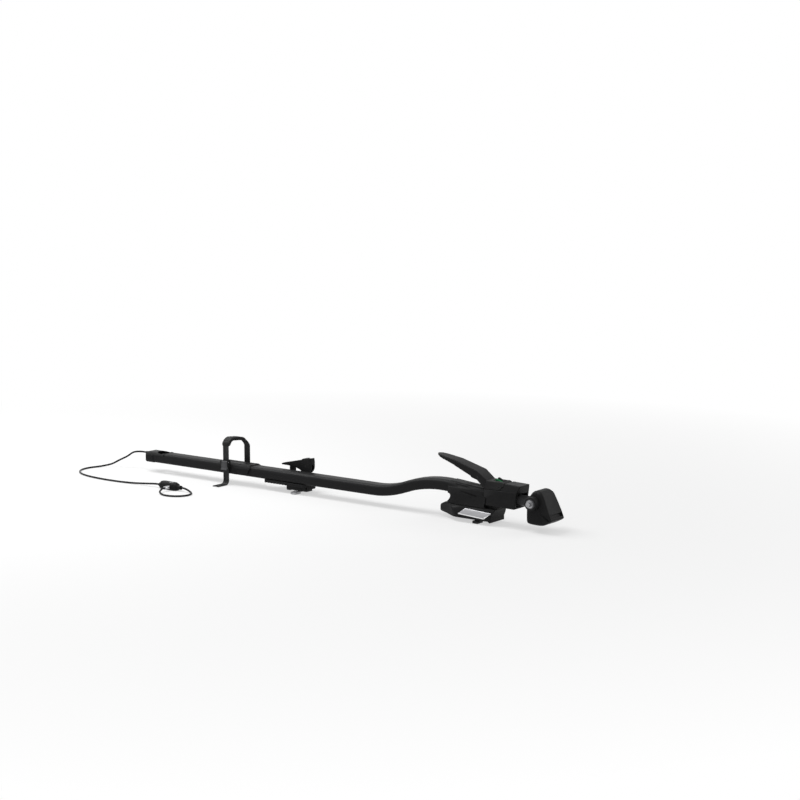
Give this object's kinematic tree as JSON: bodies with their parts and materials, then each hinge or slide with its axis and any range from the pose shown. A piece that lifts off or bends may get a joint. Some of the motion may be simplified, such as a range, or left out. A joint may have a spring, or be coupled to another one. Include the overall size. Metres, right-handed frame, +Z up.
{
  "type": "roof mounted bike carrier",
  "caption": "Fork-mount bike carrier for a car roof: black bent rail with sliding wheel strap and rear foot, lever-worked axle clamp on a track foot, and a lock cable.",
  "frame": {"origin": "on the seat of the front foot, over the middle of the front roof bar's track, in the rail's middle plane", "axes": "+X forward along the rail towards the fork head, +Y to the left, +Z up from the roof"},
  "size_m": [1.6002, 0.3197, 0.1665],
  "materials": {
    "black_anodised": "satin black anodised",
    "black_plastic": "fine grained moulding",
    "dark_plastic": "smooth moulding",
    "strap_plastic": "smooth, flexible",
    "black_rubber": "matt",
    "cable_coat": "smooth coating",
    "zinc": "satin",
    "steel": "plated",
    "silver_plate": "satin anodised",
    "dark_metal": "satin powder coat",
    "green_plastic": "smooth moulding"
  },
  "bodies": {
    "carrier": {"rail": "black_anodised", "rail_end_cap": "black_plastic", "cable_gland": "black_rubber", "lock_cable": "cable_coat", "lock_loop": "cable_coat", "lock_body": "black_plastic", "loop_plug": "zinc", "base_foot": "black_plastic", "foot_plate_left": "silver_plate", "foot_plate_right": "silver_plate", "foot_pad_front": "black_rubber", "foot_pad_rear": "black_rubber", "front_t_bolts": "steel", "front_bolt_nuts": "steel", "rail_housing": "black_plastic", "case_left": "black_plastic", "case_right": "black_plastic", "case_screws": "steel", "neck_tube": "dark_metal", "head_body": "black_plastic", "head_cover": "black_plastic", "head_bush_left": "dark_plastic", "head_bush_right": "dark_plastic"},
    "wheel_holder": {"wheel_tray": "black_plastic", "wheel_strap": "strap_plastic", "rim_pad": "black_rubber", "strap_anchor_pin": "steel", "buckle_body": "black_plastic", "buckle_pin": "steel"},
    "strap_buckle": {"buckle_lever": "dark_plastic"},
    "rear_support": {"rear_foot": "black_plastic", "rear_foot_pad": "black_rubber", "rear_slider": "steel", "rear_slider_screws": "steel", "rear_locating_lug": "steel", "rear_t_bolt": "steel"},
    "rear_clamp_lever": {"rear_cam_lever": "black_plastic", "rear_cam_pin": "steel"},
    "lever": {"clamp_lever": "black_plastic", "lever_pivot_pin": "steel", "lever_cam": "steel", "trigger_pin": "steel", "trigger_spring": "steel"},
    "trigger": {"release_trigger": "black_plastic"},
    "draw": {"draw_bar": "steel", "lock_indicator": "green_plastic"},
    "mandrel_left": {"axle_mandrel_left": "steel"},
    "mandrel_right": {"axle_mandrel_right": "steel"},
    "key_barrel": {"lock_barrel": "zinc"}
  },
  "joints": [
    {"name": "clamp_lever_swing", "type": "hinge", "parent": "carrier", "child": "lever", "pos_m": [0.07, 0, 0.092], "axis": [0, 1, 0], "range_deg": [0, 75]},
    {"name": "trigger_squeeze", "type": "hinge", "parent": "lever", "child": "trigger", "pos_m": [0.002, 0, 0.11], "axis": [0, 1, 0], "range_deg": [0, 10], "stiffness_Nm_per_rad": 0.2, "springref_deg": -11.46},
    {"name": "draw_bar_slide", "type": "slide", "parent": "carrier", "child": "draw", "axis": [1, 0, 0], "range_m": [0, 0.00305]},
    {"name": "mandrel_left_slide", "type": "slide", "parent": "carrier", "child": "mandrel_left", "axis": [0, 1, 0], "range_m": [-0.00153, 0]},
    {"name": "mandrel_right_slide", "type": "slide", "parent": "carrier", "child": "mandrel_right", "axis": [0, -1, 0], "range_m": [-0.00153, 0]},
    {"name": "wheel_holder_slide", "type": "slide", "parent": "carrier", "child": "wheel_holder", "axis": [1, 0, 0], "range_m": [-0.15, 0.02]},
    {"name": "buckle_lift", "type": "hinge", "parent": "wheel_holder", "child": "strap_buckle", "pos_m": [-0.865, -0.0359, 0.0568], "axis": [-1, 0, 0], "range_deg": [0, 35], "stiffness_Nm_per_rad": 0.05, "springref_deg": -11.46},
    {"name": "rear_support_slide", "type": "slide", "parent": "carrier", "child": "rear_support", "axis": [1, 0, 0], "range_m": [-0.04, 0.15]},
    {"name": "rear_lever_swing", "type": "hinge", "parent": "rear_support", "child": "rear_clamp_lever", "pos_m": [-0.619, 0.0375, 0.062], "axis": [0, 1, 0], "range_deg": [0, 84]},
    {"name": "key_turn", "type": "hinge", "parent": "carrier", "child": "key_barrel", "pos_m": [-0.936, -0.18, 0.006], "axis": [0, 0, 1], "range_deg": [0, 90]}
  ],
  "couplings": [
    {"joint": "draw_bar_slide", "follows": "clamp_lever_swing", "m_per_rad": 0.0023253},
    {"joint": "mandrel_left_slide", "follows": "clamp_lever_swing", "m_per_rad": -0.0011627},
    {"joint": "mandrel_right_slide", "follows": "clamp_lever_swing", "m_per_rad": -0.0011627}
  ]
}
